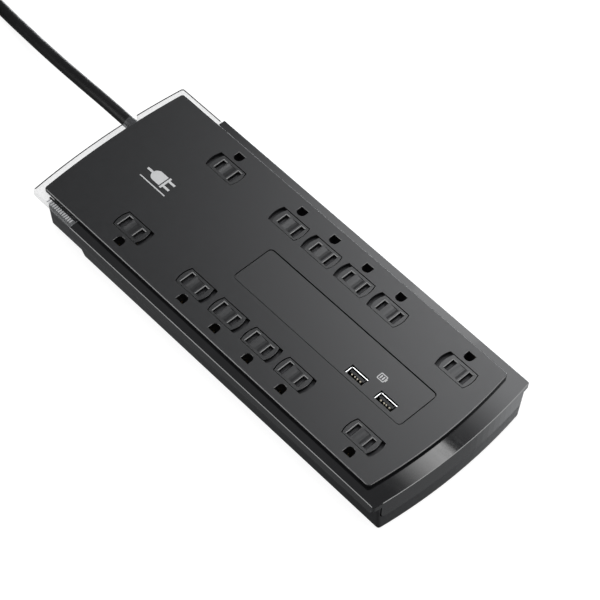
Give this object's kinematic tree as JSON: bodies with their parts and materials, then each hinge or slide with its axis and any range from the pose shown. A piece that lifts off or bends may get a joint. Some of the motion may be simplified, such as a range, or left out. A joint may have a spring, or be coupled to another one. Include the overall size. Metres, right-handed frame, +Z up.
{
  "type": "power strip",
  "caption": "Flat black power strip with sliding socket shutters, USB charging ports, a clear lit rear edge and a mains cord with a moulded plug.",
  "frame": {"origin": "on the table, under the middle of the housing", "axes": "+Y along the strip to the cord end, +X to the right-hand outlet column seen from the front end, +Z up through the outlets"},
  "size_m": [0.193, 0.5815, 0.033],
  "materials": {
    "face_plastic": "fine matt moulded black",
    "gloss_trim": "polished black",
    "housing_plastic": "satin black with fine grain",
    "clear_lens": "clear moulded plastic",
    "shutter_plastic": "satin black",
    "carrier_plastic": "plain black",
    "contact_brass": "bright stamped brass",
    "plated_steel": "nickel plated",
    "circuit_board": "green solder mask",
    "component_blue": "dipped blue epoxy",
    "component_yellow": "moulded yellow case",
    "ferrite": "dark sintered ferrite",
    "component_white": "white sleeve",
    "cord_rubber": "smooth black vinyl",
    "foot_rubber": "matt black rubber"
  },
  "bodies": {
    "strip": {"lower_housing": "housing_plastic", "face_plate": "face_plastic", "label_panel": "face_plastic", "bezel_frame": "gloss_trim", "indicator_lens": "clear_lens", "socket_carrier_left": "carrier_plastic", "line_bus_left": "contact_brass", "neutral_bus_left": "contact_brass", "ground_bus_left": "contact_brass", "socket_carrier_right": "carrier_plastic", "line_bus_right": "contact_brass", "neutral_bus_right": "contact_brass", "ground_bus_right": "contact_brass", "usb_shell_1": "plated_steel", "usb_tongue_1": "carrier_plastic", "usb_shell_2": "plated_steel", "usb_tongue_2": "carrier_plastic", "usb_board": "circuit_board", "surge_board": "circuit_board", "varistor_1": "component_blue", "varistor_2": "component_blue", "varistor_3": "component_blue", "filter_capacitor": "component_yellow", "filter_choke": "ferrite", "thermal_fuse": "component_white", "indicator_led_1": "clear_lens", "indicator_led_2": "clear_lens", "switch_housing": "carrier_plastic", "strain_relief": "cord_rubber", "cord_lead": "cord_rubber", "cord_coil": "cord_rubber", "cord_tie": "cord_rubber", "cord_tail": "cord_rubber", "plug_body": "cord_rubber", "plug_blade_line": "contact_brass", "plug_blade_neutral": "contact_brass", "plug_ground_pin": "contact_brass", "housing_screw_1": "plated_steel", "housing_screw_2": "plated_steel", "housing_screw_3": "plated_steel", "housing_screw_4": "plated_steel", "housing_screw_5": "plated_steel", "housing_screw_6": "plated_steel", "foot_1": "foot_rubber", "foot_2": "foot_rubber", "foot_3": "foot_rubber", "foot_4": "foot_rubber"},
    "shutter_left_1": {"shutter_left_1": "shutter_plastic"},
    "shutter_left_2": {"shutter_left_2": "shutter_plastic"},
    "shutter_left_3": {"shutter_left_3": "shutter_plastic"},
    "shutter_left_4": {"shutter_left_4": "shutter_plastic"},
    "shutter_left_5": {"shutter_left_5": "shutter_plastic"},
    "shutter_left_6": {"shutter_left_6": "shutter_plastic"},
    "shutter_right_1": {"shutter_right_1": "shutter_plastic"},
    "shutter_right_2": {"shutter_right_2": "shutter_plastic"},
    "shutter_right_3": {"shutter_right_3": "shutter_plastic"},
    "shutter_right_4": {"shutter_right_4": "shutter_plastic"},
    "shutter_right_5": {"shutter_right_5": "shutter_plastic"},
    "shutter_right_6": {"shutter_right_6": "shutter_plastic"},
    "rocker": {"switch_rocker": "gloss_trim"}
  },
  "joints": [
    {"name": "shutter_left_1_slide", "type": "slide", "parent": "strip", "child": "shutter_left_1", "axis": [0, -1, 0], "range_m": [0, 0.0028]},
    {"name": "shutter_left_2_slide", "type": "slide", "parent": "strip", "child": "shutter_left_2", "axis": [0, -1, 0], "range_m": [0, 0.0028]},
    {"name": "shutter_left_3_slide", "type": "slide", "parent": "strip", "child": "shutter_left_3", "axis": [0, -1, 0], "range_m": [0, 0.0028]},
    {"name": "shutter_left_4_slide", "type": "slide", "parent": "strip", "child": "shutter_left_4", "axis": [0, -1, 0], "range_m": [0, 0.0028]},
    {"name": "shutter_left_5_slide", "type": "slide", "parent": "strip", "child": "shutter_left_5", "axis": [0, -1, 0], "range_m": [0, 0.0028]},
    {"name": "shutter_left_6_slide", "type": "slide", "parent": "strip", "child": "shutter_left_6", "axis": [0, -1, 0], "range_m": [0, 0.0028]},
    {"name": "shutter_right_1_slide", "type": "slide", "parent": "strip", "child": "shutter_right_1", "axis": [0, 1, 0], "range_m": [0, 0.0028]},
    {"name": "shutter_right_2_slide", "type": "slide", "parent": "strip", "child": "shutter_right_2", "axis": [0, 1, 0], "range_m": [0, 0.0028]},
    {"name": "shutter_right_3_slide", "type": "slide", "parent": "strip", "child": "shutter_right_3", "axis": [0, 1, 0], "range_m": [0, 0.0028]},
    {"name": "shutter_right_4_slide", "type": "slide", "parent": "strip", "child": "shutter_right_4", "axis": [0, 1, 0], "range_m": [0, 0.0028]},
    {"name": "shutter_right_5_slide", "type": "slide", "parent": "strip", "child": "shutter_right_5", "axis": [0, 1, 0], "range_m": [0, 0.0028]},
    {"name": "shutter_right_6_slide", "type": "slide", "parent": "strip", "child": "shutter_right_6", "axis": [0, 1, 0], "range_m": [0, 0.0028]},
    {"name": "switch_rocker_pivot", "type": "hinge", "parent": "strip", "child": "rocker", "pos_m": [-0.022, 0.1435, 0.0156], "axis": [0, 0, 1], "range_deg": [0, 22]}
  ]
}
